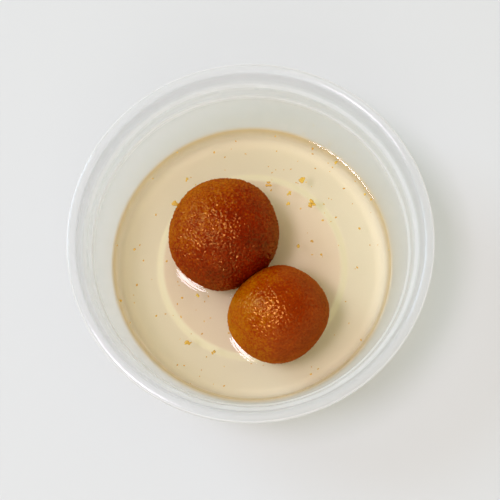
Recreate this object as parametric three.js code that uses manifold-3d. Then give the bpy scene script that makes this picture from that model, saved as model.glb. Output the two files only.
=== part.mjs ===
// Gulab jamun: two fried milk dumplings lying in a shallow pool of sugar syrup, in a round lidless plastic tub.
// Millimetres, +Z up. The origin is the middle of the tub's foot, on the table.

import * as THREE from 'three';
import { mergeVertices } from 'three/addons/utils/BufferGeometryUtils.js';
import Module from 'manifold-3d';

// ---------------------------------------------------------------------------------------------------------------
// Driving dimensions
// ---------------------------------------------------------------------------------------------------------------

const CLEARANCE = 0.3; // left between solids that touch on the real thing
const TURNED_STEPS = 60; // facets round the tub and the syrup

const TUB = {
  rimRadius: 58.5, // outside of the rolled rim, a 117 mm tub
  wall: 0.8,
  panelRadius: 30.5, // raised middle of the base
  panelRise: 1.2,
  panelSlope: 2.2, // how far out the panel's edge ramps down to the outer floor
  floorRadius: 43.4, // where the flat floor meets the corner
  cornerTop: [46.4, 3.8], // [radius, height] where the corner meets the wall
  wallTop: [51.3, 32.6], // foot of the lower shoulder
  bandFoot: [51.8, 33.2], // top of the lower shoulder
  bandTop: [52.8, 38.0], // foot of the upper shoulder
  seatFoot: [54.0, 39.2], // top of the upper shoulder, where the lid seat starts
  seatOutside: 56.0, // outside of the lid seat, where the rim starts
  rimUnderside: 43.0, // height of the rim's lower edge
  rimCrest: [57.0, 46.0], // the rim's highest line
  rimInside: 55.4, // inner edge of the rim, over the lid seat
  rimArch: 3.3, // radius of the low arch that the rim's top makes
};

const LUGS = { count: 18, width: 6.0, stand: 0.3, depth: 0.8, bottom: 36.2, top: 38.1 }; // pads that keep a stack apart

const SYRUP = {
  level: 10.4, // height of the liquid above the table
  underBallRadius: 8, // the film under each dumpling that is too thin to keep
  underBallTop: 3.0,
};

// Each dumpling is an ellipsoid that has settled: flat where it rests and where it meets the other one.
const LARGE = {
  at: [-8.6, 8.7],
  halfLength: 19.1,
  halfWidth: 18.2,
  halfHeight: 17.2,
  turn: 56, // degrees, direction of the long axis seen from above
  sink: 0.9, // how far the resting side is flattened
  lump: { height: 0.16, around: 5, phase: 0.6 },
};
const SMALL = {
  at: [7.2, -20.0],
  halfLength: 16.9,
  halfWidth: 15.8,
  halfHeight: 15.8,
  turn: 27,
  sink: 0.8,
  lump: { height: 0.3, around: 4, phase: 1.9 },
};
const SOFT_EDGE = 0.4; // mm over which a flattened side rounds off
const BALL_STEPS = [36, 24]; // facets round and from pole to pole

// ---------------------------------------------------------------------------------------------------------------
// Solids: closed meshes joined and cut as manifolds
// ---------------------------------------------------------------------------------------------------------------

const wasm = await Module();
wasm.setup();

function toSolid(geometry) {
  const bare = geometry.index ? geometry.toNonIndexed() : geometry.clone();
  bare.deleteAttribute('normal');
  bare.deleteAttribute('uv');
  const merged = mergeVertices(bare, 1e-4);
  const corners = merged.index.array;
  const faces = [];
  for (let i = 0; i < corners.length; i += 3) {
    const [a, b, c] = [corners[i], corners[i + 1], corners[i + 2]];
    if (a !== b && b !== c && c !== a) faces.push(a, b, c);
  }
  const mesh = new wasm.Mesh({
    numProp: 3,
    vertProperties: new Float32Array(merged.attributes.position.array),
    triVerts: new Uint32Array(faces),
  });
  return new wasm.Manifold(mesh);
}

function toGeometry(solid) {
  const { vertProperties, triVerts } = solid.getMesh();
  const geometry = new THREE.BufferGeometry();
  geometry.setAttribute('position', new THREE.BufferAttribute(new Float32Array(vertProperties), 3));
  geometry.setIndex(new THREE.BufferAttribute(new Uint32Array(triVerts), 1));
  geometry.computeVertexNormals();
  return geometry;
}

// A turned solid from an outline in [radius, height], run anticlockwise so that its faces point out.
function turned(path, curveSteps = 4) {
  const outline = path.getPoints(curveSteps);
  return new THREE.LatheGeometry(outline, TURNED_STEPS).rotateX(Math.PI / 2);
}

function named(name, geometry, material) {
  const mesh = new THREE.Mesh(geometry, material);
  mesh.name = name;
  return mesh;
}

// ---------------------------------------------------------------------------------------------------------------
// Tub: thin-walled, with a raised base panel, two shoulders, a lid seat and a rolled rim
// ---------------------------------------------------------------------------------------------------------------

const panelTop = TUB.wall + TUB.panelRise;
const rampFoot = TUB.panelRadius + TUB.panelSlope;

// Radius of the main wall's inner face at a height.
function wallRadius(z) {
  const [footRadius, footZ] = TUB.cornerTop;
  const [topRadius, topZ] = TUB.wallTop;
  return footRadius + ((topRadius - footRadius) * (z - footZ)) / (topZ - footZ);
}

// A point of the low arch on top of the rim.
function onRim(radius) {
  const drop = TUB.rimArch - Math.sqrt(TUB.rimArch ** 2 - (radius - TUB.rimCrest[0]) ** 2);
  return [radius, TUB.rimCrest[1] - drop];
}

function tubOutline() {
  const t = TUB.wall;
  const path = new THREE.Path();
  // outside, from the axis out and up
  path.moveTo(0, TUB.panelRise);
  path.lineTo(TUB.panelRadius - t / 2, TUB.panelRise);
  path.lineTo(rampFoot - t / 2, 0);
  path.lineTo(TUB.floorRadius, 0);
  path.quadraticCurveTo(wallRadius(0) + t, 0, TUB.cornerTop[0] + t, TUB.cornerTop[1]);
  path.lineTo(TUB.wallTop[0] + t, TUB.wallTop[1] - t / 2);
  path.lineTo(TUB.bandFoot[0] + t, TUB.bandFoot[1] - t / 2);
  path.lineTo(TUB.bandTop[0] + t, TUB.bandTop[1] - t / 2);
  path.lineTo(TUB.seatFoot[0] + t, TUB.seatFoot[1] - t / 2);
  path.lineTo(TUB.seatOutside, TUB.rimUnderside);
  // the rolled rim
  path.lineTo(TUB.rimRadius - t / 2, TUB.rimUnderside);
  path.lineTo(TUB.rimRadius, TUB.rimUnderside + t / 2);
  path.lineTo(...onRim(TUB.rimRadius));
  path.lineTo(...onRim((TUB.rimRadius + TUB.rimCrest[0]) / 2));
  path.lineTo(...TUB.rimCrest);
  path.lineTo(...onRim((TUB.rimInside + TUB.rimCrest[0]) / 2));
  path.lineTo(...onRim(TUB.rimInside));
  // inside, down and in to the axis
  path.lineTo(...TUB.seatFoot);
  path.lineTo(...TUB.bandTop);
  path.lineTo(...TUB.bandFoot);
  path.lineTo(...TUB.wallTop);
  path.lineTo(...TUB.cornerTop);
  path.quadraticCurveTo(wallRadius(t), t, TUB.floorRadius, t);
  path.lineTo(rampFoot, t);
  path.lineTo(TUB.panelRadius, panelTop);
  path.lineTo(0, panelTop);
  return path;
}

function makeLug(turn) {
  const middle = (LUGS.bottom + LUGS.top) / 2;
  const slope = (TUB.bandTop[0] - TUB.bandFoot[0]) / (TUB.bandTop[1] - TUB.bandFoot[1]);
  const faceRadius = TUB.bandFoot[0] + slope * (middle - TUB.bandFoot[1]) - LUGS.stand;
  const block = new THREE.BoxGeometry(LUGS.depth, LUGS.width, LUGS.top - LUGS.bottom);
  block.rotateY(Math.atan(slope));
  block.translate(faceRadius + LUGS.depth / 2, 0, middle);
  return block.rotateZ(turn);
}

function makeTub() {
  let tub = toSolid(turned(tubOutline()));
  for (let i = 0; i < LUGS.count; i += 1) {
    tub = tub.add(toSolid(makeLug((i * 2 * Math.PI) / LUGS.count)));
  }
  return tub;
}

// ---------------------------------------------------------------------------------------------------------------
// Dumplings
// ---------------------------------------------------------------------------------------------------------------

const restHeight = panelTop + CLEARANCE;

function centreOf(ball) {
  return new THREE.Vector3(ball.at[0], ball.at[1], restHeight + ball.halfHeight - ball.sink);
}

// Half the ball's depth along a level direction.
function reach(ball, direction) {
  const angle = Math.atan2(direction.y, direction.x) - THREE.MathUtils.degToRad(ball.turn);
  return 1 / Math.hypot(Math.cos(angle) / ball.halfLength, Math.sin(angle) / ball.halfWidth);
}

// The plane where the two dumplings press together: its normal runs from the large one to the small one.
const contact = (() => {
  const from = centreOf(LARGE);
  const normal = centreOf(SMALL).sub(from);
  const spacing = normal.length();
  normal.normalize();
  const spare = reach(LARGE, normal) + reach(SMALL, normal) - spacing;
  const distance = from.dot(normal) + reach(LARGE, normal) - spare / 2;
  return { normal, distance };
})();

// Keeps a signed depth below zero, rounding off over SOFT_EDGE on either side of it.
function flatten(depth) {
  if (depth <= -SOFT_EDGE) return depth;
  if (depth >= SOFT_EDGE) return 0;
  return -((depth - SOFT_EDGE) ** 2) / (4 * SOFT_EDGE);
}

// grow makes the same ball larger all over, for the pocket it leaves in the syrup.
function ballGeometry(ball, side, grow = 0) {
  const geometry = new THREE.SphereGeometry(1, ...BALL_STEPS).rotateX(Math.PI / 2);
  const place = geometry.attributes.position;
  const centre = centreOf(ball);
  const turn = THREE.MathUtils.degToRad(ball.turn);
  const up = new THREE.Vector3(0, 0, 1);
  const flats = [
    { normal: new THREE.Vector3(0, 0, -1), distance: -restHeight + grow },
    { normal: contact.normal.clone().multiplyScalar(side), distance: side * contact.distance - CLEARANCE / 2 + grow },
  ];
  for (let i = 0; i < place.count; i += 1) {
    const p = new THREE.Vector3().fromBufferAttribute(place, i);
    const around = Math.atan2(p.y, p.x);
    const lump = ball.lump.height * (1 - p.z * p.z) * Math.cos(ball.lump.around * around + ball.lump.phase);
    const swell = 1 + (lump + grow) / ball.halfLength;
    p.set(p.x * ball.halfLength, p.y * ball.halfWidth, p.z * ball.halfHeight).multiplyScalar(swell);
    p.applyAxisAngle(up, turn).add(centre);
    for (const flat of flats) {
      const depth = p.dot(flat.normal) - flat.distance;
      p.addScaledVector(flat.normal, flatten(depth) - depth);
    }
    place.setXYZ(i, p.x, p.y, p.z);
  }
  return geometry;
}

// ---------------------------------------------------------------------------------------------------------------
// Syrup: fills the tub to its level, round the two dumplings
// ---------------------------------------------------------------------------------------------------------------

function syrupOutline() {
  const c = CLEARANCE;
  const path = new THREE.Path();
  path.moveTo(0, panelTop + c);
  path.lineTo(TUB.panelRadius + c / 4, panelTop + c);
  path.lineTo(rampFoot + c / 4, TUB.wall + c);
  path.lineTo(TUB.floorRadius - c, TUB.wall + c);
  path.quadraticCurveTo(wallRadius(TUB.wall) - c, TUB.wall + c, TUB.cornerTop[0] - c, TUB.cornerTop[1]);
  path.lineTo(wallRadius(SYRUP.level) - c, SYRUP.level);
  path.lineTo(0, SYRUP.level);
  return path;
}

function makeSyrup() {
  let syrup = toSolid(turned(syrupOutline()));
  for (const [ball, side] of [[LARGE, 1], [SMALL, -1]]) {
    syrup = syrup.subtract(toSolid(ballGeometry(ball, side, CLEARANCE)));
    const post = new THREE.CylinderGeometry(SYRUP.underBallRadius, SYRUP.underBallRadius, SYRUP.underBallTop, 24);
    post.rotateX(Math.PI / 2).translate(ball.at[0], ball.at[1], SYRUP.underBallTop / 2);
    syrup = syrup.subtract(toSolid(post));
  }
  return syrup;
}

// ---------------------------------------------------------------------------------------------------------------
// Materials and assembly
// ---------------------------------------------------------------------------------------------------------------

const frostedPlastic = new THREE.MeshStandardMaterial({ color: 0xdfe1da, roughness: 0.35, metalness: 0 });
const sugarSyrup = new THREE.MeshStandardMaterial({ color: 0xdcc79c, roughness: 0.1, metalness: 0 });
const darkCrust = new THREE.MeshStandardMaterial({ color: 0x8f3a0c, roughness: 0.4, metalness: 0 });
const lightCrust = new THREE.MeshStandardMaterial({ color: 0xa64a0a, roughness: 0.4, metalness: 0 });

const gulabJamun = new THREE.Group();
gulabJamun.add(named('tub', toGeometry(makeTub()), frostedPlastic));
gulabJamun.add(named('syrup', toGeometry(makeSyrup()), sugarSyrup));
gulabJamun.add(named('dumpling_large', toGeometry(toSolid(ballGeometry(LARGE, 1))), darkCrust));
gulabJamun.add(named('dumpling_small', toGeometry(toSolid(ballGeometry(SMALL, -1))), lightCrust));

export default gulabJamun;
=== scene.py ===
# %% [markdown]
# # Two gulab jamun in syrup, in a takeaway tub
#
# Gulab jamun are balls of milk dough, fried dark and soaked in sugar syrup. These two lie in a shallow pool
# of it, in a round open tub of milky polypropylene. The solids of the tub, the syrup and the two dumplings
# come packed from CAD. This lesson dresses each of them with a finer mesh and a procedural material, and
# lights them softly from above and from the left.

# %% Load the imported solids
import math
import random

import bmesh
import bpy
import numpy as np
from mathutils import Matrix, Vector, noise


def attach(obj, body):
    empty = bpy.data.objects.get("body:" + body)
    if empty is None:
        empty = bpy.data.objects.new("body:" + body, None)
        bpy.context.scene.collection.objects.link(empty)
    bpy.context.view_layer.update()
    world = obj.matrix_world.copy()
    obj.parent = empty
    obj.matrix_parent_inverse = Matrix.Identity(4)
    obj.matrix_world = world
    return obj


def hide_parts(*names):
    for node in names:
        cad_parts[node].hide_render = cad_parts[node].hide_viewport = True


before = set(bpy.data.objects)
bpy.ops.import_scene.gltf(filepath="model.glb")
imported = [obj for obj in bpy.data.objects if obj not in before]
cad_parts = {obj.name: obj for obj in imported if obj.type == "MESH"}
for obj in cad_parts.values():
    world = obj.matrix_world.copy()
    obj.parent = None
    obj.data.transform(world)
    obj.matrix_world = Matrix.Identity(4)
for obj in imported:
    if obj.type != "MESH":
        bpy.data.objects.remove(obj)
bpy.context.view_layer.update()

MM = 0.001  # the scene is in metres, the sizes below are in millimetres
scene = bpy.context.scene
print("solids:", sorted(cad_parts))

# %% [markdown]
# ## Camera
#
# The tub is looked at from almost straight above, with a long lens. A camera could be aimed with a Track To
# constraint, but its roll is then hard to set. Here its three axes are worked out from a height angle and a
# roll, and written straight into its matrix, so each number can be changed alone.

# %% Aim the camera
PICTURE_SIDE = 500  # pixels
SENSOR_WIDTH = 36.0
FOCAL_LENGTH_PIXELS = 1500.0
CAMERA_HEIGHT_ANGLE = math.radians(77.0)
CAMERA_ROLL = math.radians(-5.0)
CAMERA_TARGET = Vector((-0.31, -0.20, 30.0)) * MM
CAMERA_DISTANCE = 490.8 * MM


def add_camera():
    back = Vector((0.0, -math.cos(CAMERA_HEIGHT_ANGLE), math.sin(CAMERA_HEIGHT_ANGLE)))
    level_right = Vector((1.0, 0.0, 0.0))
    level_up = back.cross(level_right)
    right = level_right * math.cos(CAMERA_ROLL) + level_up * math.sin(CAMERA_ROLL)
    up = back.cross(right)
    turn = Matrix((right, up, back)).transposed().to_4x4()
    data = bpy.data.cameras.new("camera")
    data.sensor_width = SENSOR_WIDTH
    data.lens = FOCAL_LENGTH_PIXELS * SENSOR_WIDTH / PICTURE_SIDE
    camera = bpy.data.objects.new("camera", data)
    camera.matrix_world = Matrix.Translation(CAMERA_TARGET + back * CAMERA_DISTANCE) @ turn
    scene.collection.objects.link(camera)
    return camera


scene.camera = add_camera()
print("lens, mm:", round(scene.camera.data.lens, 1))

# %% [markdown]
# ## Light
#
# A cool window on the left and a lamp almost overhead give the soft double shadow and the bright curls on
# the syrup where it climbs the dumplings. A faint far window fills in from the front. Sun lamps would make
# hard spots on wet food; area lights keep the edges soft. Each is set by where it stands and how large it
# looks from the tub, since that is what a wet surface shows of it.

# %% Windows
WINDOW_DISTANCE = 5.0  # metres


def add_window(name, azimuth, height_angle, width_angle, tall_angle, brightness, colour):
    """A window seen from the tub. The angles are in degrees, and brightness is what a mirror would show."""
    flat = math.cos(math.radians(height_angle))
    direction = Vector((
        math.cos(math.radians(azimuth)) * flat,
        math.sin(math.radians(azimuth)) * flat,
        math.sin(math.radians(height_angle)),
    ))
    data = bpy.data.lights.new(name, "AREA")
    data.shape = "RECTANGLE"
    data.size = 2 * WINDOW_DISTANCE * math.tan(math.radians(width_angle / 2))
    data.size_y = 2 * WINDOW_DISTANCE * math.tan(math.radians(tall_angle / 2))
    data.energy = brightness * math.pi * data.size * data.size_y
    data.color = colour
    light = bpy.data.objects.new(name, data)
    light.location = direction * WINDOW_DISTANCE
    light.rotation_euler = direction.to_track_quat("Z", "Y").to_euler()
    scene.collection.objects.link(light)
    print(name, "watts:", round(data.energy, 1))


add_window(
    "window", azimuth=148, height_angle=41, width_angle=24, tall_angle=26,
    brightness=4.8, colour=(0.73, 1.0, 1.28),
)
add_window(
    "ceiling_lamp", azimuth=192, height_angle=72, width_angle=16, tall_angle=12,
    brightness=17.5, colour=(1.14, 1.0, 1.20),
)
add_window(
    "far_window", azimuth=262, height_angle=45, width_angle=30, tall_angle=30,
    brightness=1.1, colour=(1.0, 1.0, 1.0),
)

# %% [markdown]
# ## Small tools
#
# Every material here is made of nodes, and so is the room. Three short helpers are enough to begin with:
# one adds a node with its settings, one starts a material and hands back its Principled shader, and one
# turns points and faces into a piece of the scene. A Mix node has a set of sockets for each kind of data,
# all with the same names, so its sockets are picked by number, and the numbers get names here.

# %% Helpers for nodes, materials and pieces
COLOUR_A, COLOUR_B, COLOUR_RESULT = 6, 7, 2  # sockets of a Mix node that mixes colours
VALUE_A, VALUE_B, VALUE_RESULT = 2, 3, 0  # and of one that mixes plain values


def add_node(tree, kind, values=None, **settings):
    made = tree.nodes.new(kind)
    for key, value in settings.items():
        setattr(made, key, value)
    for key, value in (values or {}).items():
        made.inputs[key].default_value = value
    return made


def new_material(name, **sockets):
    material = bpy.data.materials.new(name)
    material.use_nodes = True
    shader = material.node_tree.nodes["Principled BSDF"]
    for key, value in sockets.items():
        shader.inputs[key.replace("_", " ")].default_value = value
    return material, material.node_tree, shader


def add_piece(name, vertices, faces, material):
    mesh = bpy.data.meshes.new(name)
    mesh.from_pydata([tuple(v) for v in vertices], [], faces)
    mesh.validate()
    mesh.shade_smooth()
    mesh.materials.append(material)
    piece = bpy.data.objects.new(name, mesh)
    scene.collection.objects.link(piece)
    return piece


# %% [markdown]
# ## Room
#
# The world stands for the room, whose ceiling is brighter than its walls. One even colour would do for a
# matt thing, but wet skin and syrup mirror what is round them, and a bright even room would lay a grey veil
# over both. So the colour runs from low to high, and reflections see the room dimmed. The Standard view
# keeps the white table white.

# %% Room
CEILING_COLOUR, LOW_COLOUR = (0.80, 0.755, 0.52, 1.0), (0.38, 0.40, 0.43, 1.0)
ROOM_IN_GLOSS = 0.2  # how bright the room is in a reflection


def add_room():
    world = bpy.data.worlds.new("room")
    world.use_nodes = True
    room = world.node_tree
    background = room.nodes["Background"]
    look = add_node(room, "ShaderNodeTexCoord")
    upward = add_node(room, "ShaderNodeSeparateXYZ")
    low_to_high = {COLOUR_A: LOW_COLOUR, COLOUR_B: CEILING_COLOUR}
    shade = add_node(room, "ShaderNodeMix", low_to_high, data_type="RGBA")
    ray = add_node(room, "ShaderNodeLightPath")
    dimming = add_node(room, "ShaderNodeMapRange", {"To Min": 1.0, "To Max": ROOM_IN_GLOSS})
    room.links.new(look.outputs["Generated"], upward.inputs["Vector"])
    room.links.new(upward.outputs["Z"], shade.inputs["Factor"])
    room.links.new(shade.outputs[COLOUR_RESULT], background.inputs["Color"])
    room.links.new(ray.outputs["Is Glossy Ray"], dimming.inputs["Value"])
    room.links.new(dimming.outputs["Result"], background.inputs["Strength"])
    return world


scene.world = add_room()
scene.view_settings.view_transform = "Standard"
scene.cycles.use_denoising = True
print("room:", len(scene.world.node_tree.nodes), "nodes")

# %% [markdown]
# ## Table
#
# A plain pale sheet, so large that no edge of it shows. A plane from the Add menu would do as well, but the
# helper above gives it its material in the same step. It isn't part of the object, so it isn't attached to
# its body.

# %% Table
TABLE_SIDE = 6.0  # metres
TABLE_COLOUR = (0.65, 0.663, 0.675, 1.0)


def add_table():
    material, _, _ = new_material("pale_table", Base_Color=TABLE_COLOUR, Roughness=0.6)
    half = TABLE_SIDE / 2
    corners = [(-half, -half, 0.0), (half, -half, 0.0), (half, half, 0.0), (-half, half, 0.0)]
    return add_piece("table", corners, [(0, 1, 2, 3)], material)


table = add_table()
print("table, m:", round(table.dimensions.x, 2), "square")

# %% [markdown]
# ## Tub
#
# A thin tub like this is injection moulded and round, so it is a turned form: one outline spun about the
# upright axis. Its base has a raised middle, its wall two small shoulders, and the top of its rim is a low
# arch. Blender's Screw modifier would spin a curve, but the stacking pads under the rim repeat round the
# wall and aren't round themselves. So the outline is spun in code, which can push the wall in by the height
# of a pad as it goes.

# %% Outline of the tub, [radius, height, corner rounding] in millimetres
TUB_WALL = 0.8
PANEL_RADIUS, PANEL_RISE, RAMP_WIDTH = 30.5, 1.2, 2.2
PANEL_TOP = TUB_WALL + PANEL_RISE
CORNER_TOP = (46.4, 3.8)
WALL_TOP = (51.3, 32.6)
BAND_FOOT, BAND_TOP = (51.8, 33.2), (52.8, 38.0)
SEAT_FOOT, SEAT_OUTSIDE = (54.0, 39.2), 56.0
RIM_RADIUS, RIM_UNDERSIDE = 58.5, 43.0
RIM_CREST, RIM_INSIDE, RIM_ARCH_RADIUS = (57.0, 46.0), 55.4, 3.3
CORNER_INSET = 0.6  # how far the flat base ends inside the line of the wall
SLOPE_SHIFT = 0.4  # a slope's outer face is moved by this much, so that it stays as thick as the wall


def wall_radius(z):
    """The inner face of the wall at a height."""
    share = (z - CORNER_TOP[1]) / (WALL_TOP[1] - CORNER_TOP[1])
    return CORNER_TOP[0] + (WALL_TOP[0] - CORNER_TOP[0]) * share


def on_rim(radius, rounding):
    """A point on the low arch that the rim's top makes from its inside edge to its outside edge."""
    drop = RIM_ARCH_RADIUS - math.sqrt(RIM_ARCH_RADIUS**2 - (radius - RIM_CREST[0]) ** 2)
    return (radius, RIM_CREST[1] - drop, rounding)


def base_line(depth):
    """The base's upper face, from the axis to the corner, or a line that runs below it in the plastic."""
    return [
        (0.0, PANEL_TOP - depth, 0.0),
        (PANEL_RADIUS, PANEL_TOP - depth, 0.7),
        (PANEL_RADIUS + RAMP_WIDTH, TUB_WALL - depth, 0.7),
        (wall_radius(TUB_WALL) - CORNER_INSET + depth, TUB_WALL - depth, 3.2),
    ]


OUTSIDE = [
    (0.0, PANEL_RISE, 0.0),
    (PANEL_RADIUS - SLOPE_SHIFT, PANEL_RISE, 0.6),
    (PANEL_RADIUS + RAMP_WIDTH - SLOPE_SHIFT, 0.0, 0.6),
    (wall_radius(0.0) - CORNER_INSET + TUB_WALL, 0.0, 3.6),
    (WALL_TOP[0] + TUB_WALL, WALL_TOP[1] - SLOPE_SHIFT, 0.4),
    (BAND_FOOT[0] + TUB_WALL, BAND_FOOT[1] - SLOPE_SHIFT, 0.4),
    (BAND_TOP[0] + TUB_WALL, BAND_TOP[1] - SLOPE_SHIFT, 0.5),
    (SEAT_FOOT[0] + TUB_WALL, SEAT_FOOT[1] - SLOPE_SHIFT, 0.5),
    (SEAT_OUTSIDE, RIM_UNDERSIDE, 0.3),
    (RIM_RADIUS, RIM_UNDERSIDE, 0.7),
    on_rim(RIM_RADIUS, 0.4),
    on_rim((RIM_RADIUS + RIM_CREST[0]) / 2, 0.35),
    on_rim(RIM_CREST[0], 0.35),
]
INSIDE = [
    on_rim((RIM_INSIDE + RIM_CREST[0]) / 2, 0.35),
    on_rim(RIM_INSIDE, 0.35),
    (SEAT_FOOT[0], SEAT_FOOT[1], 0.35),
    (BAND_TOP[0], BAND_TOP[1], 0.25),
    (BAND_FOOT[0], BAND_FOOT[1], 0.25),
    (WALL_TOP[0], WALL_TOP[1], 0.25),
    *reversed(base_line(0.0)),
]
print("outline:", len(OUTSIDE), "corners outside,", len(INSIDE), "inside")

# %% [markdown]
# Moulded plastic has no sharp corners. A Bevel modifier could round them after the spin, but it would act
# on every ring at once. Here each corner of the outline is swapped for a short quadratic curve first, and
# long straight stretches get extra points, so that the pads have something to bend.

# %% Round the corners
CORNER_STEPS = 6
STRAIGHT_SHARE = 0.48  # the most that a rounding takes of the straight beside it
TUB_SPACING = 0.9


def round_corners(outline):
    """Swaps each corner for a curve that begins and ends its rounding away from it."""
    points = [np.array(outline[0][:2])]
    for before, corner, after in zip(outline, outline[1:], outline[2:]):
        here = np.array(corner[:2])
        ends = []
        for other in (before, after):
            away = np.array(other[:2]) - here
            length = np.linalg.norm(away)
            ends.append(here + away / length * min(corner[2], STRAIGHT_SHARE * length))
        for step in range(CORNER_STEPS + 1):
            t = step / CORNER_STEPS
            points.append((1 - t) ** 2 * ends[0] + 2 * t * (1 - t) * here + t**2 * ends[1])
    points.append(np.array(outline[-1][:2]))
    return points


def fill_gaps(points, spacing):
    """Adds points, so that no two neighbours lie further apart than the spacing."""
    filled = [points[0]]
    for a, b in zip(points, points[1:]):
        pieces = max(1, math.ceil(np.linalg.norm(b - a) / spacing))
        filled += [a + (b - a) * k / pieces for k in range(1, pieces + 1)]
    return filled


tub_outline = fill_gaps(round_corners(OUTSIDE + INSIDE), TUB_SPACING)
print("rounded outline:", len(tub_outline), "points")

# %% [markdown]
# Eighteen low pads stand on the inner face of the band between the two shoulders. They hold a stack of tubs
# apart, so that the tubs don't wedge. As separate blocks they would need joining to the wall, and each
# would show a seam. As a push on the points of the band they flow out of it, with soft edges.

# %% Spin the outline and raise the pads
TUB_STEPS = 300
PAD_COUNT, PAD_HALF_ANGLE, PAD_STAND = 18, math.radians(3.3), 0.3
PAD_BOTTOM, PAD_TOP, PAD_SOFT = 36.4, 38.1, 0.5


def soft_step(value, low, high):
    t = min(1.0, max(0.0, (value - low) / (high - low)))
    return t * t * (3 - 2 * t)


def pad_stand(angle, z):
    """How far a pad stands out of the wall here: all of it in its middle, nothing between the pads."""
    pitch = 2 * math.pi / PAD_COUNT
    off_middle = abs((angle + pitch / 2) % pitch - pitch / 2)
    edge = PAD_SOFT / BAND_FOOT[0]
    across = 1 - soft_step(off_middle, PAD_HALF_ANGLE - edge, PAD_HALF_ANGLE + edge)
    begun = soft_step(z, PAD_BOTTOM - PAD_SOFT, PAD_BOTTOM)
    ended = soft_step(z, PAD_TOP, PAD_TOP + PAD_SOFT)
    along = begun * (1 - ended)
    return PAD_STAND * across * along


def push_pads(angle, radius, z):
    """How far a point goes in for the pads, which stand on the inner face alone."""
    lean = (BAND_TOP[0] - BAND_FOOT[0]) / (BAND_TOP[1] - BAND_FOOT[1])
    between_faces = BAND_TOP[0] + (z - BAND_TOP[1]) * lean + 0.6 * TUB_WALL
    return pad_stand(angle, z) if radius < between_faces else 0.0


def spin(outline, steps, push=None):
    """Vertices and faces of an outline that starts and ends on the axis, spun round it."""
    inner = outline[1:-1]
    vertices = [(0.0, 0.0, outline[0][1] * MM)]
    for radius, z in inner:
        for k in range(steps):
            angle = 2 * math.pi * k / steps
            r = radius - (push(angle, radius, z) if push else 0.0)
            vertices.append((r * math.cos(angle) * MM, r * math.sin(angle) * MM, z * MM))
    vertices.append((0.0, 0.0, outline[-1][1] * MM))
    last = len(vertices) - 1
    faces = []
    for k in range(steps):
        n = (k + 1) % steps
        faces.append((0, 1 + n, 1 + k))
        faces.append((last, last - steps + k, last - steps + n))
        for row in range(len(inner) - 1):
            a, b = 1 + row * steps, 1 + (row + 1) * steps
            faces.append((a + k, a + n, b + n, b + k))
    return vertices, faces


tub_points, tub_faces = spin(tub_outline, TUB_STEPS, push_pads)
print("tub:", len(tub_outline), "rows,", len(tub_faces), "faces")

# %% [markdown]
# ## Milky plastic
#
# Polypropylene this thin is milky. Some light goes straight through, some is scattered back and some
# onward, and a polished face mirrors a little. Full refraction would be slow and noisy through both faces
# of the wall, so the material mixes four plain shaders: white, translucent, transparent and a thin gloss.
# How clear it is differs from place to place: the base hides the table and the wall shows it. The two bends
# and the rim's outer edge are made less clear and whiter than the wall, which paints on them the thin
# highlight lines that the windows make there. The tub is round, so all of this can follow the distance from
# its axis, and so can the tints that the base, the wall and the rim take on. Of these, the raised middle of
# the base is tinted darker and pinker as painted shade, the ramp round it yellower as painted light, and the
# low wall warmer as painted light from the syrup.

# %% How clear and how tinted the plastic is, by radius in millimetres
THICK_INSIDE, THIN_OUTSIDE = 46.0, 47.0  # between these the cloudy base turns into the clearer wall
BASE_ONWARD, WALL_ONWARD = 0.2, 0.45  # of the scattered light, the share that goes on through the plastic
# The rim's outer edge and the two bends get less clearness than the wall, so they come out whiter: painted
# highlight lines, for the thin reflections of the windows along them.
BASE_CLEAR, WALL_CLEAR, RIM_CLEAR, EDGE_HIGHLIGHT_CLEAR = 0.08, 0.72, 0.6, 0.3
LOWER_BEND_HIGHLIGHT_CLEAR, UPPER_BEND_HIGHLIGHT_CLEAR = 0.3, 0.45
CLEAR_SHARES = (
    (THICK_INSIDE, BASE_CLEAR),
    (THIN_OUTSIDE, WALL_CLEAR),
    (WALL_TOP[0] - 0.2, WALL_CLEAR),
    (WALL_TOP[0] + 0.1, LOWER_BEND_HIGHLIGHT_CLEAR),
    (BAND_FOOT[0] - 0.1, LOWER_BEND_HIGHLIGHT_CLEAR),
    (BAND_FOOT[0] + 0.2, WALL_CLEAR),
    (BAND_TOP[0] - 0.2, WALL_CLEAR),
    (BAND_TOP[0] + 0.2, UPPER_BEND_HIGHLIGHT_CLEAR),
    (SEAT_FOOT[0] - 0.2, UPPER_BEND_HIGHLIGHT_CLEAR),
    (SEAT_FOOT[0] + 0.3, WALL_CLEAR),
    (SEAT_FOOT[0] + 0.8, WALL_CLEAR),
    (RIM_INSIDE, RIM_CLEAR),
    (RIM_RADIUS - 0.6, RIM_CLEAR),
    (RIM_RADIUS - 0.3, EDGE_HIGHLIGHT_CLEAR),
)
# The raised middle of the base is tinted darker and pinker: painted shade, for the light it lacks from the
# table below. The ramp round it is tinted yellower and kept bright: painted light, for what its slope catches
# from the window.
PANEL_SHADE_TINT, RAMP_LIGHT_TINT = (0.955, 0.87, 0.82, 1.0), (1.0, 1.0, 0.94, 1.0)
# The low wall is tinted warmer towards the syrup: painted warm light, thrown up from the syrup.
BASE_TINT, LOW_WALL_GLOW_TINT = (1.0, 0.98, 0.96, 1.0), (1.0, 1.0, 0.965, 1.0)
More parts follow.
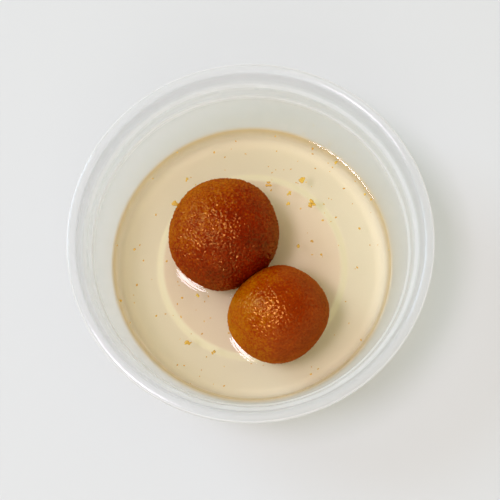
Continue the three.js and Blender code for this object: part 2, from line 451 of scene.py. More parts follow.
# The rim's outer edge is kept pure white, as part of its painted highlight line.
SEAT_TINT, RIM_TINT, EDGE_HIGHLIGHT_TINT = (0.99, 1.0, 1.0, 1.0), (0.95, 0.957, 0.967, 1.0), (1.0, 1.0, 1.0, 1.0)
LOW_WALL_HEIGHT = 14.0
TUB_TINTS = (
    (PANEL_RADIUS - 0.6, PANEL_SHADE_TINT),
    (PANEL_RADIUS + 0.4, RAMP_LIGHT_TINT),
    (PANEL_RADIUS + RAMP_WIDTH - 0.4, RAMP_LIGHT_TINT),
    (PANEL_RADIUS + RAMP_WIDTH + 0.5, BASE_TINT),
    (CORNER_TOP[0], BASE_TINT),
    (wall_radius(LOW_WALL_HEIGHT), LOW_WALL_GLOW_TINT),
    (SEAT_FOOT[0], SEAT_TINT),
    (RIM_INSIDE, RIM_TINT),
    (RIM_RADIUS - 0.6, RIM_TINT),
    (RIM_RADIUS - 0.3, EDGE_HIGHLIGHT_TINT),
)
print("plastic:", len(CLEAR_SHARES), "stops of clearness and", len(TUB_TINTS), "of tint")

# %% [markdown]
# A node tree grows long when each sum and each mix is wired by hand. These helpers each take sockets and
# hand back a socket, so that the materials below read like formulas. Colour Ramp nodes count from zero to
# one, so a distance is divided by the reach that one stands for before it goes in.

# %% Helpers that wire sockets together
RAMP_REACH = 60.0  # millimetres from the axis at which the ramps by radius end


def computed(tree, operation, first, second):
    """What a Math node makes of two sockets, or of a socket and a number."""
    node = add_node(tree, "ShaderNodeMath", operation=operation)
    for index, term in enumerate((first, second)):
        if isinstance(term, float):
            node.inputs[index].default_value = term
        else:
            tree.links.new(term, node.inputs[index])
    return node.outputs["Value"]


def noise_on(tree, place, scale, detail, roughness=0.5):
    """A cloudy value between zero and one that follows the place it is given."""
    texture = add_node(tree, "ShaderNodeTexNoise", {"Scale": scale, "Detail": detail, "Roughness": roughness})
    tree.links.new(place, texture.inputs["Vector"])
    return texture.outputs["Fac"]


def layered(tree, share, below, above):
    """The shader below, with a share of it given to the shader above."""
    mix = add_node(tree, "ShaderNodeMixShader")
    for index, socket in enumerate((share, below, above)):
        tree.links.new(socket, mix.inputs[index])
    return mix.outputs["Shader"]


def ramp_between(tree, value, start, end, low, high):
    """Goes from low to high while a value in metres goes from start to end, given in millimetres."""
    ramp = add_node(tree, "ShaderNodeMapRange", {
        "From Min": start * MM, "From Max": end * MM, "To Min": low, "To Max": high,
    })
    tree.links.new(value, ramp.inputs["Value"])
    return ramp.outputs["Result"]


def coloured(tree, value, stops):
    """Turns a value into a colour, by stops of value and colour from the lowest to the highest."""
    ramp = add_node(tree, "ShaderNodeValToRGB")
    elements = ramp.color_ramp.elements
    elements.remove(elements[1])
    elements[0].position, elements[0].color = stops[0]
    for position, colour in stops[1:]:
        elements.new(position).color = colour
    tree.links.new(value, ramp.inputs["Fac"])
    return ramp.outputs["Color"]


def by_radius(tree, radius, stops):
    """Turns a distance from the axis into a colour, by stops in millimetres."""
    share = computed(tree, "DIVIDE", radius, RAMP_REACH * MM)
    return coloured(tree, share, [(distance / RAMP_REACH, colour) for distance, colour in stops])


def radius_of(tree, place):
    """How far a place lies from the upright axis."""
    flat = add_node(tree, "ShaderNodeVectorMath", {1: (1.0, 1.0, 0.0)}, operation="MULTIPLY")
    length = add_node(tree, "ShaderNodeVectorMath", operation="LENGTH")
    tree.links.new(place, flat.inputs[0])
    tree.links.new(flat.outputs["Vector"], length.inputs[0])
    return length.outputs["Value"]


# %% [markdown]
# Where syrup lies on the plastic there is no polished face left for air to mirror in, so the gloss stops at
# the line where the syrup ends. Below it, the steep foot of the wall is seen through the most syrup, and is
# painted darker and yellower: painted shade, for the tan ring that the syrup's curved edge casts there. A
# second material on those faces would need an edge along that line. A mask worked out from radius and height
# needs none.

# %% Where the syrup wets the plastic
LEVEL, WALL_CLIMB = 10.4, 0.4  # millimetres above the table, and what the syrup climbs at the wall
# Painted shade: the wall's steep foot below the syrup line is darkened and yellowed by this tint.
FOOT_SHADE_TINT = (0.94, 0.865, 0.71, 1.0)
LINE_SOFTNESS = 0.05
BEYOND_INNER_FACE = (0.3, 0.5)  # the mask fades out this far behind the inner face, within the wall
GLOSS_SHARE = 0.035


def wetness(tree, radius, height):
    """One on the inner face below the line where the syrup ends, nothing elsewhere."""
    lean = (WALL_TOP[0] - CORNER_TOP[0]) / (WALL_TOP[1] - CORNER_TOP[1])
    line = LEVEL + WALL_CLIMB
    start, end = (wall_radius(0) + beyond for beyond in BEYOND_INNER_FACE)
    upright = add_node(tree, "ShaderNodeMath", {1: -lean}, operation="MULTIPLY_ADD")
    tree.links.new(height, upright.inputs[0])
    tree.links.new(radius, upright.inputs[2])
    below_line = ramp_between(tree, height, line, line + LINE_SOFTNESS, 1.0, 0.0)
    inner_face = ramp_between(tree, upright.outputs["Value"], start, end, 1.0, 0.0)
    return computed(tree, "MULTIPLY", below_line, inner_face)


def painted_foot_shade(tree, colour, radius, wet):
    """Paints shade on the steep part of the wall that the syrup covers, darker and yellower."""
    steep = ramp_between(tree, radius, CORNER_TOP[0] - 0.5, CORNER_TOP[0] + 0.4, 0.0, 1.0)
    mix = add_node(
        tree, "ShaderNodeMix", {COLOUR_B: FOOT_SHADE_TINT}, data_type="RGBA", blend_type="MULTIPLY",
    )
    tree.links.new(computed(tree, "MULTIPLY", wet, steep), mix.inputs["Factor"])
    tree.links.new(colour, mix.inputs[COLOUR_A])
    return mix.outputs[COLOUR_RESULT]


def gloss_share(tree, wet):
    """What a polished face mirrors, which is nothing where syrup covers it."""
    share = add_node(tree, "ShaderNodeMapRange", {"To Min": GLOSS_SHARE, "To Max": 0.0})
    tree.links.new(wet, share.inputs["Value"])
    return share.outputs["Result"]


# %% [markdown]
# The flow of the melt leaves faint cloudy streaks in the wall. An image could be wrapped round it, but a
# noise stretched upright does the same with no seam. It darkens the tint by a fiftieth at most. Then the
# four shaders are laid over each other, and the tub is made.

# %% Milky plastic
CLOUD_SCALE, CLOUD_STRETCH, CLOUD_DARKEST = 70.0, 0.35, 0.98
MILK_ROUGHNESS, GLOSS_ROUGHNESS = 0.6, 0.1


def frosted_plastic():
    material, tree, shader = new_material("frosted_plastic", Roughness=MILK_ROUGHNESS, Specular_IOR_Level=0.0)
    where = add_node(tree, "ShaderNodeTexCoord")
    stretch = add_node(tree, "ShaderNodeMapping", {"Scale": (1.0, 1.0, CLOUD_STRETCH)})
    streaks = add_node(tree, "ShaderNodeMapRange", {"To Min": CLOUD_DARKEST, "To Max": 1.0})
    cloudy = add_node(tree, "ShaderNodeVectorMath", operation="SCALE")
    split = add_node(tree, "ShaderNodeSeparateXYZ")
    onward = add_node(tree, "ShaderNodeBsdfTranslucent")
    clear = add_node(tree, "ShaderNodeBsdfTransparent")
    gloss = add_node(tree, "ShaderNodeBsdfGlossy", {"Roughness": GLOSS_ROUGHNESS})
    place = where.outputs["Object"]
    tree.links.new(place, split.inputs["Vector"])
    radius = radius_of(tree, place)
    wet = wetness(tree, radius, split.outputs["Z"])
    tree.links.new(place, stretch.inputs["Vector"])
    cloud = noise_on(tree, stretch.outputs["Vector"], CLOUD_SCALE, detail=4.0, roughness=0.55)
    tree.links.new(cloud, streaks.inputs["Value"])
    tree.links.new(by_radius(tree, radius, TUB_TINTS), cloudy.inputs["Vector"])
    tree.links.new(streaks.outputs["Result"], cloudy.inputs["Scale"])
    tint = painted_foot_shade(tree, cloudy.outputs["Vector"], radius, wet)
    for socket in (shader.inputs["Base Color"], onward.inputs["Color"], clear.inputs["Color"]):
        tree.links.new(tint, socket)
    onward_share = ramp_between(tree, radius, THICK_INSIDE, THIN_OUTSIDE, BASE_ONWARD, WALL_ONWARD)
    clear_share = by_radius(tree, radius, [(at, (share, share, share, 1.0)) for at, share in CLEAR_SHARES])
    milky = layered(tree, onward_share, shader.outputs["BSDF"], onward.outputs["BSDF"])
    thin = layered(tree, clear_share, milky, clear.outputs["BSDF"])
    polished = layered(tree, gloss_share(tree, wet), thin, gloss.outputs["BSDF"])
    tree.links.new(polished, tree.nodes["Material Output"].inputs["Surface"])
    return material


tub = add_piece("milky_tub", tub_points, tub_faces, frosted_plastic())
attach(tub, "root")
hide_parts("tub")
print("tub, mm:", [round(side / MM, 1) for side in tub.dimensions])

# %% [markdown]
# ## Dumplings
#
# Each one is a ball that was rolled by hand, swelled in the fryer and then sank a little under its own
# weight. No two come out alike, so each has its own sizes. Two copies of one ball, turned differently,
# would be less work, but the eye finds such twins at once. A dictionary for each keeps all that makes it
# different in one place, from its form to the way it browned.

# %% Sizes of the dumplings, in millimetres
CAD_GAP = 0.3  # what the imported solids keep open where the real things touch
CAD_REST_HEIGHT = PANEL_TOP + CAD_GAP

# at is the middle seen from above, half the three half sizes, and sink what is pressed flat below. side
# says on which side of the face between them it lies, and climb how high the syrup rises round it. rough is
# how deep its skin is. The next two give the side that is paler and how much paler it is; that side faces
# the window and the lamp, and its paleness is partly less browning, partly painted light. mottle is how even
# its colour is, and wet how much it mirrors seen square on.
LARGE = dict(
    at=(-8.6, 8.7), half=(19.1, 18.2, 17.2), turn=math.radians(56), sink=0.9, side=1,
    lump=0.16, lumps_around=5, lump_phase=0.6, seed=3.0, rough=1.4,
    climb=0.9, climb_length=2.4,
    # Each paler side faces the window and the lamp: partly less browning, partly painted light.
    lit_pale_side=math.radians(130), lit_pale_lean=0.19, mottle=0.28, wet=0.076,
)
SMALL = dict(
    at=(7.2, -20.0), half=(16.9, 15.8, 15.8), turn=math.radians(27), sink=0.8, side=-1,
    lump=0.3, lumps_around=4, lump_phase=1.9, seed=11.0, rough=0.7,
    climb=0.7, climb_length=2.3,
    lit_pale_side=math.radians(170), lit_pale_lean=0.21, mottle=0.33, wet=0.083,
)
DUMPLINGS = (LARGE, SMALL)


def centre_of(ball):
    return Vector((ball["at"][0], ball["at"][1], CAD_REST_HEIGHT + ball["half"][2] - ball["sink"]))


def reach(ball, direction):
    """How far the ball's outline, seen from above, lies from its middle."""
    angle = math.atan2(direction.y, direction.x) - ball["turn"]
    return 1 / math.hypot(math.cos(angle) / ball["half"][0], math.sin(angle) / ball["half"][1])


for ball in DUMPLINGS:
    print("middle of a dumpling, mm:", [round(c, 1) for c in centre_of(ball)])

# %% [markdown]
# The form is an ellipsoid dented by a few broad lumps, and pressed flat where it rests on the tub and on
# its neighbour. Sculpting could give that too, but not the same each time. A formula that says where each
# point of a unit sphere goes can be used again, for the pocket that the ball takes out of the syrup.

# %% Form of the dumplings
TOUCH = 0.02  # what stays open where two pieces touch
REST_HEIGHT = PANEL_TOP + TOUCH
SOFT_EDGE = 0.4  # how gently a pressed face begins


def contact_plane():
    """The face between the two dumplings, which takes as much from one as from the other."""
    start = centre_of(LARGE)
    normal = centre_of(SMALL) - start
    spacing = normal.length
    normal.normalize()
    spare = reach(LARGE, normal) + reach(SMALL, normal) - spacing
    return normal, start.dot(normal) + reach(LARGE, normal) - spare / 2


CONTACT_NORMAL, CONTACT_DISTANCE = contact_plane()


def flatten(depth):
    """Presses a depth beyond a plane to nothing, with a soft bend where the pressing begins."""
    if depth <= -SOFT_EDGE:
        return depth
    if depth >= SOFT_EDGE:
        return 0.0
    return -((depth - SOFT_EDGE) ** 2) / (4 * SOFT_EDGE)


def ball_point(ball, unit, relief):
    """Where a point of the unit sphere lies on the ball."""
    around = math.atan2(unit.y, unit.x)
    lump = ball["lump"] * (1 - unit.z**2) * math.cos(ball["lumps_around"] * around + ball["lump_phase"])
    swell = 1 + (lump + relief) / ball["half"][0]
    a, b, c = ball["half"]
    point = Vector((unit.x * a, unit.y * b, unit.z * c)) * swell
    point.rotate(Matrix.Rotation(ball["turn"], 3, "Z"))
    point += centre_of(ball)
    for normal, distance in (
        (Vector((0, 0, -1)), -REST_HEIGHT),
        (CONTACT_NORMAL * ball["side"], ball["side"] * CONTACT_DISTANCE - TOUCH / 2),
    ):
        depth = point.dot(normal) - distance
        point += normal * (flatten(depth) - depth)
    return point


print("face between them, mm:", round(CONTACT_DISTANCE, 1), "along", [round(c, 2) for c in CONTACT_NORMAL])

# %% [markdown]
# The skin is pebbled all over, because the dough's surface crinkles as it fries and again as it drinks the
# syrup. All of it could be bump, but then the outline would be smooth, and light would fall on it as on a
# smooth ball. So the dents, the creases and the grains down to half a millimetre are real relief in the
# mesh. A UV sphere would crowd its faces at the poles, and the grain would show it. A cube with its faces
# cut into a fine grid and blown up to a sphere keeps them nearly alike.

# %% Pebbled skin
BALL_CELLS = 120
DENT_WIDTH, DENT_DEPTH = 7.0, 0.16
CRINKLE_WIDTH, CRINKLE_DEPTH = 1.7, 0.12
CREASE_WIDTH, CREASE_DEPTH = 0.95, 0.38
CREASE_MIDDLE = 0.25  # what the folded noise is on average, near enough
GRAIN_WIDTH, GRAIN_DEPTH = 0.6, 0.26


def skin_relief(ball, unit):
    place = Vector((unit.x * ball["half"][0], unit.y * ball["half"][1], unit.z * ball["half"][2]))
    place += Vector((ball["seed"], 0, 0)) * 10
    dents = noise.noise(place / DENT_WIDTH)
    crinkles = noise.noise(place / CRINKLE_WIDTH)
    creases = CREASE_MIDDLE - abs(noise.noise(place / CREASE_WIDTH))
    grains = noise.noise(place / GRAIN_WIDTH)
    fine = CRINKLE_DEPTH * crinkles + CREASE_DEPTH * creases + GRAIN_DEPTH * grains
    return DENT_DEPTH * dents + ball["rough"] * fine


def sphere_points(cells):
    """A unit sphere made from a cube with its faces cut into cells."""
    made = bmesh.new()
    bmesh.ops.create_cube(made, size=2.0)
    bmesh.ops.subdivide_edges(made, edges=made.edges[:], cuts=cells - 1, use_grid_fill=True)
    units = [Vector([math.tan(c * math.pi / 4) for c in v.co]).normalized() for v in made.verts]
    faces = [tuple(v.index for v in f.verts) for f in made.faces]
    made.free()
    return units, faces


def make_ball(name, ball, material):
    units, faces = sphere_points(BALL_CELLS)
    points = [ball_point(ball, unit, skin_relief(ball, unit)) * MM for unit in units]
    return add_piece(name, points, faces, material)


for ball in DUMPLINGS:
    relief = [skin_relief(ball, unit) for unit in sphere_points(20)[0]]
    print("relief, mm:", round(min(relief), 2), "to", round(max(relief), 2))

# %% [markdown]
# Fried milk dough is red brown where it browned most and orange where it browned least, in soft patches a
# few millimetres across with finer freckles in them. Each ball is also paler on the side that faces the
# window and the lamp: partly less browning, partly painted light. Painting it by hand would need an
# unwrapped ball. Two noises and a slope from one side to the other need none, and a colour ramp turns their
# sum into browns.

# %% Browning
PATCH_SCALE, FRECKLE_SCALE = 160.0, 1250.0
DARK_BROWNS = ((0.08, 0.0003, 0.0001, 1.0), (0.22, 0.0092, 0.0001, 1.0), (0.385, 0.1, 0.0003, 1.0))
LIGHT_BROWNS = ((0.155, 0.005, 0.0001, 1.0), (0.275, 0.024, 0.0002, 1.0), (0.42, 0.135, 0.0004, 1.0))


def lit_paler_side(tree, place, ball):
    """Goes from less than nothing on the browner side of the ball to more than nothing on its paler side,
    which faces the lights: painted light in part.
    """
    lit_pale_side = Vector((math.cos(ball["lit_pale_side"]), math.sin(ball["lit_pale_side"]), 0.0))
    aside = add_node(tree, "ShaderNodeVectorMath", {1: lit_pale_side}, operation="DOT_PRODUCT")
    tree.links.new(place, aside.inputs[0])
    middle, half, most = centre_of(ball).dot(lit_pale_side), ball["half"][0], ball["lit_pale_lean"]
    return ramp_between(tree, aside.outputs["Value"], middle - half, middle + half, -most, most)


def browning(tree, place, ball, browns):
    patches = noise_on(tree, place, PATCH_SCALE, detail=5.0, roughness=0.65)
    freckles = noise_on(tree, place, FRECKLE_SCALE, detail=1.0, roughness=0.6)
    both = add_node(tree, "ShaderNodeMix", {"Factor": 0.5}, data_type="FLOAT")
    tree.links.new(patches, both.inputs[VALUE_A])
    tree.links.new(freckles, both.inputs[VALUE_B])
    leaning = computed(tree, "ADD", both.outputs[VALUE_RESULT], lit_paler_side(tree, place, ball))
    positions = (0.5 - ball["mottle"], 0.5, 0.5 + ball["mottle"])
    return coloured(tree, leaning, list(zip(positions, browns)))


print("browns:", len(DARK_BROWNS), "from dark to light for each dumpling")

# %% [markdown]
# Light sinks a little way into the dough, which makes the dark parts glow red instead of grey, so the
# shader has some subsurface. The syrup on the skin mirrors the windows in hundreds of tiny glints, over a
# bump finer than the mesh. One Principled gloss could make them, but here a golden gloss of its own lies
# over the crust, so that its share can be set apart for skin seen square on and at a slant.

# %% Fried crust
LIGHT_DEPTH = 1.5  # millimetres that light sinks in
LIGHT_DEPTH_SHARES = (1.0, 0.25, 0.08)  # of that, for red, green and blue
CRUST_ROUGHNESS, SUNK_SHARE = 0.5, 0.25
GRAIN_SCALE, GRAIN_BUMP = 2200.0, 0.07
WET_GRAZING, WET_ROUGHNESS, WET_STEEPNESS = 0.3, 0.07, 4.0
WET_COLOUR = (1.0, 0.57, 0.12, 1.0)


def wet_share(tree, ball):
    """The share that the wet skin mirrors: little seen square on, more at a slant."""
    slant = add_node(tree, "ShaderNodeLayerWeight", {"Blend": 0.5})
    share = add_node(tree, "ShaderNodeMapRange", {"To Min": ball["wet"], "To Max": WET_GRAZING})
    tree.links.new(computed(tree, "POWER", slant.outputs["Facing"], WET_STEEPNESS), share.inputs["Value"])
    return share.outputs["Result"]


def fried_crust(name, ball, browns):
    material, tree, shader = new_material(
        name, Roughness=CRUST_ROUGHNESS, Specular_IOR_Level=0.0,
        Subsurface_Weight=SUNK_SHARE, Subsurface_Radius=LIGHT_DEPTH_SHARES, Subsurface_Scale=LIGHT_DEPTH * MM,
    )
    place = add_node(tree, "ShaderNodeTexCoord").outputs["Object"]
    bump = add_node(tree, "ShaderNodeBump", {"Strength": 1.0, "Distance": GRAIN_BUMP * MM})
    gloss = add_node(tree, "ShaderNodeBsdfGlossy", {"Color": WET_COLOUR, "Roughness": WET_ROUGHNESS})
    tree.links.new(browning(tree, place, ball, browns), shader.inputs["Base Color"])
    tree.links.new(noise_on(tree, place, GRAIN_SCALE, detail=1.0), bump.inputs["Height"])
    tree.links.new(bump.outputs["Normal"], gloss.inputs["Normal"])
    tree.links.new(bump.outputs["Normal"], shader.inputs["Normal"])
    wet = layered(tree, wet_share(tree, ball), shader.outputs["BSDF"], gloss.outputs["BSDF"])
    tree.links.new(wet, tree.nodes["Material Output"].inputs["Surface"])
    return material


dark_crust = fried_crust("dark_crust", LARGE, DARK_BROWNS)
light_crust = fried_crust("light_crust", SMALL, LIGHT_BROWNS)
large = make_ball("large_dumpling", LARGE, dark_crust)
small = make_ball("small_dumpling", SMALL, light_crust)
for piece, node, slot in ((large, "dumpling_large", "dark_crust"), (small, "dumpling_small", "light_crust")):
    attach(piece, "root")
    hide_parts(node)
    print(piece.name, "mm:", [round(side / MM, 1) for side in piece.dimensions])

# %% [markdown]
# ## Syrup
#
# A liquid wets what it touches, so its surface climbs in a small curve at the wall and a larger one round
# each dumpling. Those curves are what catch the windows. A fluid simulation would find them slowly; a
# falling exponential is close to what surface tension makes. The pool is one closed skin: a fine disc of
# rings whose height is worked out point by point, joined to a side and a floor that reach a tenth of a
# millimetre into the plastic, so that no gap of air shows.

# %% Form of the syrup, in millimetres
INTO_WALL = 0.1
WALL_CLIMB_LENGTH = 1.0
RING_SPACING, EDGE_SPACING, EDGE_WIDTH = 0.37, 0.2, 4.0
UNDERSIDE_SPACING = 1.5
SYRUP_STEPS = 360


def waterline_distance(ball, x, y):
    """How far a point lies outside the ball's outline at the height where the syrup meets it."""
    centre = centre_of(ball)
    height = (LEVEL + ball["climb"] - centre.z) / ball["half"][2]
    shrink = math.sqrt(1 - height**2)
    dx, dy = x - centre.x, y - centre.y
    distance = math.hypot(dx, dy)
    return distance - shrink * reach(ball, Vector((dx, dy, 0.0)))


def surface_height(x, y):
    """The syrup's level, and what it climbs at the wall and at each dumpling."""
    from_wall = math.hypot(x, y) - wall_radius(LEVEL + WALL_CLIMB)
    z = LEVEL + WALL_CLIMB * math.exp(from_wall / WALL_CLIMB_LENGTH)
    for ball in DUMPLINGS:
        z += ball["climb"] * math.exp(-max(0.0, waterline_distance(ball, x, y)) / ball["climb_length"])
    return z


def make_syrup(material):
    rim = wall_radius(LEVEL + WALL_CLIMB) + INTO_WALL
    rings = list(np.arange(rim - EDGE_SPACING, rim - EDGE_WIDTH, -EDGE_SPACING))
    rings += list(np.linspace(rings[-1], 0.0, math.ceil(rings[-1] / RING_SPACING) + 1)[1:])
    underside = [*base_line(INTO_WALL), (rim, LEVEL + WALL_CLIMB, 0.0)]
    outline = fill_gaps(round_corners(underside), UNDERSIDE_SPACING)
    rim_row = len(outline) - 1
    outline += [np.array((radius, LEVEL)) for radius in rings]
    vertices, faces = spin(outline, SYRUP_STEPS)
    for i in range(1 + (rim_row - 1) * SYRUP_STEPS, len(vertices)):
        x, y, _ = vertices[i]
        vertices[i] = (x, y, surface_height(x / MM, y / MM) * MM)
    return add_piece("sugar_syrup", vertices, faces, material)


at_wall = surface_height(0.0, wall_radius(LEVEL + WALL_CLIMB))
print("syrup, mm:", LEVEL, "high in the open,", round(at_wall, 1), "at the wall")

# %% [markdown]
# The syrup is clear, pale and slightly amber. A Principled shader with full transmission bends the light,
# and a volume inside it takes away blue first and then green, so that deep places come out warmer than
# shallow ones, as they do in a real pool. Soft light and shadow could be traced through the bent surface
# too, but that is slow and full of specks, so to those rays the surface stands open and only the volume
# acts. Faint ripples, left where the dumplings were set down, are a bump: ring waves that fade out round
# each of them.

# %% Clear syrup
SYRUP_TINT, SYRUP_DENSITY = (0.938, 0.77, 0.13, 1.0), 24.0
RIPPLE_WIDTH, RIPPLE_HEIGHT, RIPPLE_REACH = 0.85, 0.04, 4.5
RIPPLE_PATCHES = 130.0
WAVE_FACTOR = 20  # a Wave Texture node makes this many radians of each unit of distance times scale
REFRACTIVE_INDEX = 1.42


def ripples_round(tree, place, ball):
    """Ring waves about the ball's middle, patchy and fading out, as a height for the bump."""
    centre = centre_of(ball) * MM
    start = ball["half"][1]
    offset = add_node(tree, "ShaderNodeVectorMath", {1: (centre.x, centre.y, 0.0)}, operation="SUBTRACT")
    rings = add_node(tree, "ShaderNodeTexWave", {
        "Scale": 2 * math.pi / (WAVE_FACTOR * RIPPLE_WIDTH * MM),
        "Distortion": 1.4, "Detail": 2.0, "Detail Scale": 0.5,
    }, wave_type="RINGS", rings_direction="Z")
    tree.links.new(place, offset.inputs[0])
    tree.links.new(offset.outputs["Vector"], rings.inputs["Vector"])
    distance = radius_of(tree, offset.outputs["Vector"])
    fade = ramp_between(tree, distance, start, start + RIPPLE_REACH, 1.0, 0.0)
    patchy = noise_on(tree, place, RIPPLE_PATCHES, detail=1.0)
    return computed(tree, "MULTIPLY", computed(tree, "MULTIPLY", patchy, fade), rings.outputs["Fac"])


def clear_syrup():
    material, tree, shader = new_material(
        "clear_syrup", Base_Color=(1.0, 1.0, 1.0, 1.0), Roughness=0.02, IOR=REFRACTIVE_INDEX,
        Transmission_Weight=1.0,
    )
    place = add_node(tree, "ShaderNodeTexCoord").outputs["Object"]
    bump = add_node(tree, "ShaderNodeBump", {"Strength": 1.0, "Distance": RIPPLE_HEIGHT * MM})
    path = add_node(tree, "ShaderNodeLightPath")
    open_surface = add_node(tree, "ShaderNodeBsdfTransparent")
    tint = add_node(tree, "ShaderNodeVolumeAbsorption", {"Color": SYRUP_TINT, "Density": SYRUP_DENSITY})
    output = tree.nodes["Material Output"]
    ripples = computed(tree, "ADD", ripples_round(tree, place, LARGE), ripples_round(tree, place, SMALL))
    tree.links.new(ripples, bump.inputs["Height"])
    tree.links.new(bump.outputs["Normal"], shader.inputs["Normal"])
    soft_ray = computed(tree, "MAXIMUM", path.outputs["Is Shadow Ray"], path.outputs["Is Diffuse Ray"])
    surface = layered(tree, soft_ray, shader.outputs["BSDF"], open_surface.outputs["BSDF"])
    tree.links.new(surface, output.inputs["Surface"])
    tree.links.new(tint.outputs["Volume"], output.inputs["Volume"])
    return material


# %% [markdown]
# The pool is poured as a whole, and each dumpling then takes its pocket out of it. Leaving the hole out of
# the rings would mean matching two curved edges by hand; a Boolean modifier finds where they meet. The
# pocket is slightly smaller than the dumpling, so that the crust always lies in front of the cut.

# %% Pour the syrup and cut the pockets
POCKET_CELLS = 40
POCKET_INSET = 0.15
SHARP_EDGE = math.radians(40)


def cut_pocket(piece, ball):
    units, faces = sphere_points(POCKET_CELLS)
    points = [ball_point(ball, unit, -POCKET_INSET) * MM for unit in units]
    tool = add_piece("pocket", points, faces, piece.data.materials[0])
    cut = piece.modifiers.new("pocket", "BOOLEAN")
    cut.operation, cut.object, cut.solver = "DIFFERENCE", tool, "MANIFOLD"
    bpy.context.view_layer.objects.active = piece
    bpy.ops.object.modifier_apply(modifier=cut.name)
    bpy.data.objects.remove(tool, do_unlink=True)


syrup = make_syrup(clear_syrup())
for ball in DUMPLINGS:
    cut_pocket(syrup, ball)
syrup.data.shade_smooth()
syrup.data.set_sharp_from_angle(angle=SHARP_EDGE)
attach(syrup, "root")
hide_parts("syrup")
print("syrup:", len(syrup.data.polygons), "faces")

# %% [markdown]
# ## Saffron flecks
#
# Threads of saffron and crumbs of crust break up in the syrup. They float on it as soft orange and yellow
# flecks, most of them near the wall, and a few dry on the wall above the syrup. A particle system could
# scatter them, but it can't keep them off the dumplings. So the ones that catch the eye are placed one by
# one, and a seeded rule strews the rest over the open syrup, more of them on two sides.

# %% Places of the flecks, in millimetres
LARGE_FLECKS = (  # to the right, to the back, and half its length
    (19.5, 27.5, 1.4), (8.0, 27.0, 1.3), (14.5, 23.0, 1.1), (14.0, 19.5, 0.8), (22.0, 19.0, 1.8),
    (21.0, 5.5, 0.7), (16.0, 4.5, 1.1), (-24.5, 23.0, 1.3), (-20.0, 31.0, 0.9), (-24.0, -25.5, 1.4),
    (-15.5, -29.5, 0.9), (-19.5, -10.0, 0.9), (32.0, 32.5, 1.1), (35.5, -5.0, 0.6),
)
FLECK_SEED = 5
SMALL_FLECK_COUNT, SMALL_FLECK_SIZES = 110, (0.16, 0.5)
WALL_FLECK_COUNT, WALL_FLECK_HEIGHTS = 12, (13.0, 23.0)
CROWDED_SIDES = (math.radians(50), math.radians(225))
CROWD_SPREAD, WALL_SPREAD = 0.5, 0.35  # radians
CLEAR_OF_WALL, CLEAR_OF_BALLS = 0.5, 1.1
INNERMOST = 0.15  # the share of the pool's area, at its middle, where none are strewn


def open_syrup(x, y):
    """Whether a place is syrup, clear of the wall and of both dumplings."""
    inside = math.hypot(x, y) < wall_radius(LEVEL) - CLEAR_OF_WALL
    return inside and all(waterline_distance(ball, x, y) > CLEAR_OF_BALLS for ball in DUMPLINGS)


def strewn_places(chance):
    """Places on the open syrup without end: half of them anywhere, half on the crowded sides."""
    while True:
        anywhere = chance.uniform(0, math.tau)
        crowded = chance.gauss(chance.choice(CROWDED_SIDES), CROWD_SPREAD)
        angle = chance.choice((anywhere, crowded))
        radius = wall_radius(LEVEL) * math.sqrt(chance.uniform(INNERMOST, 1.0))
        x, y = radius * math.cos(angle), radius * math.sin(angle)
        if open_syrup(x, y):
            yield x, y


print("flecks:", len(LARGE_FLECKS), "placed,", SMALL_FLECK_COUNT + WALL_FLECK_COUNT, "strewn")

# %% [markdown]
# A fleck is a flattened ball with a knobbly skin, and a large one is a few of them in a clump. Cut threads
# would be truer to dry saffron, but soaked ones swell and fall apart. Each lump lies flat on what carries
# it, and all of them are made in one mesh, which costs less than a hundred small pieces.

# %% One fleck
CLUMPED_FROM = 0.5  # half the length from which a fleck is a clump
CLUMP_COUNT = 4
CLUMP_SPREAD, CLUMP_SIZES = 0.5, (0.4, 0.65)  # shares of half the fleck's length
FLECK_WIDTHS, FLECK_FLATNESS = (0.45, 0.8), 0.35
KNOB_HEIGHT, KNOB_SCALE = 0.5, 1.3


def fleck_lump(made, centre, half_length, outward, chance):
    """One flattened knobbly lump that lies with its thin side along the direction outward."""
    lump = bmesh.ops.create_icosphere(made, subdivisions=2, radius=1.0)["verts"]
    turn = Matrix.Rotation(chance.uniform(0, math.tau), 3, "Z")
    lie = outward.to_track_quat("Z", "Y").to_matrix()
    seed = Vector((chance.uniform(0, 50), 0, 0))
    width = chance.uniform(*FLECK_WIDTHS)
    for vertex in lump:
        knob = 1 + KNOB_HEIGHT * noise.noise(vertex.co * KNOB_SCALE + seed)
        flat = Vector((vertex.co.x, vertex.co.y * width, vertex.co.z * FLECK_FLATNESS))
        vertex.co = (centre + lie @ (turn @ (flat * knob * half_length))) * MM


def add_fleck(made, centre, half_length, outward, chance):
    if half_length < CLUMPED_FROM:
        fleck_lump(made, centre, half_length, outward, chance)
        return
    lie = outward.to_track_quat("Z", "Y").to_matrix()
    for _ in range(CLUMP_COUNT):
        aside = lie @ Vector((chance.uniform(-1, 1), chance.uniform(-1, 1), 0)) * half_length * CLUMP_SPREAD
        fleck_lump(made, centre + aside, half_length * chance.uniform(*CLUMP_SIZES), outward, chance)


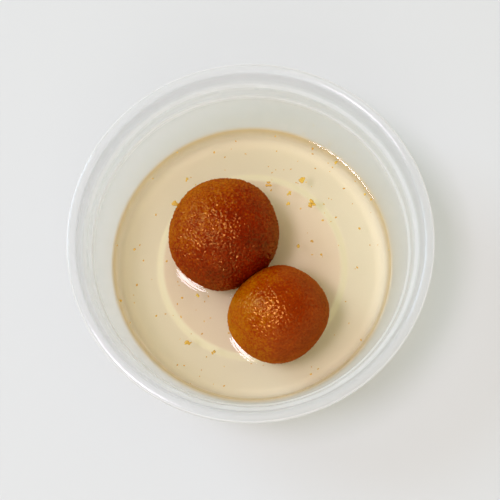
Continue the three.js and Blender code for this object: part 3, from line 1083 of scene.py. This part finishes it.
trial = bmesh.new()
fleck_lump(trial, Vector(), 1.0, Vector((0, 0, 1)), random.Random(FLECK_SEED))
print("one lump:", len(trial.faces), "faces")
trial.free()

# %% [markdown]
# Soaked saffron lets some light in, so its shader has a little subsurface, and a noise picks between two
# yellows. A material for each yellow would need the flecks sorted. Then every fleck is made in its place,
# in the same order each time, because the seeded rule draws its numbers one after the other.

# %% Saffron and the finished flecks
FLECK_YELLOWS = ((0.35, (0.66, 0.36, 0.04, 1.0)), (0.65, (0.80, 0.52, 0.06, 1.0)))
YELLOW_SCALE = 230.0


def saffron():
    material, tree, shader = new_material(
        "saffron", Roughness=0.35, Subsurface_Weight=0.1, Subsurface_Scale=0.0003,
    )
    place = add_node(tree, "ShaderNodeTexCoord").outputs["Object"]
    kinds = noise_on(tree, place, YELLOW_SCALE, detail=2.0)
    tree.links.new(coloured(tree, kinds, FLECK_YELLOWS), shader.inputs["Base Color"])
    return material


def make_flecks():
    chance = random.Random(FLECK_SEED)
    made = bmesh.new()
    up = Vector((0, 0, 1))
    for x, y, half_length in LARGE_FLECKS:
        add_fleck(made, Vector((x, y, surface_height(x, y))), half_length, up, chance)
    places = strewn_places(chance)
    for _ in range(SMALL_FLECK_COUNT):
        x, y = next(places)
        half_length = chance.uniform(*SMALL_FLECK_SIZES)
        add_fleck(made, Vector((x, y, surface_height(x, y))), half_length, up, chance)
    for _ in range(WALL_FLECK_COUNT):
        angle, z = chance.gauss(CROWDED_SIDES[0], WALL_SPREAD), chance.uniform(*WALL_FLECK_HEIGHTS)
        half_length = chance.uniform(*SMALL_FLECK_SIZES)
        outward = Vector((math.cos(angle), math.sin(angle), 0))
        add_fleck(made, outward * wall_radius(z) + up * z, half_length, outward, chance)
    mesh = bpy.data.meshes.new("saffron_flecks")
    made.to_mesh(mesh)
    made.free()
    mesh.shade_smooth()
    mesh.materials.append(saffron())
    piece = bpy.data.objects.new("saffron_flecks", mesh)
    scene.collection.objects.link(piece)
    return piece


flecks = make_flecks()
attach(flecks, "root")
print("flecks:", len(flecks.data.polygons), "faces")
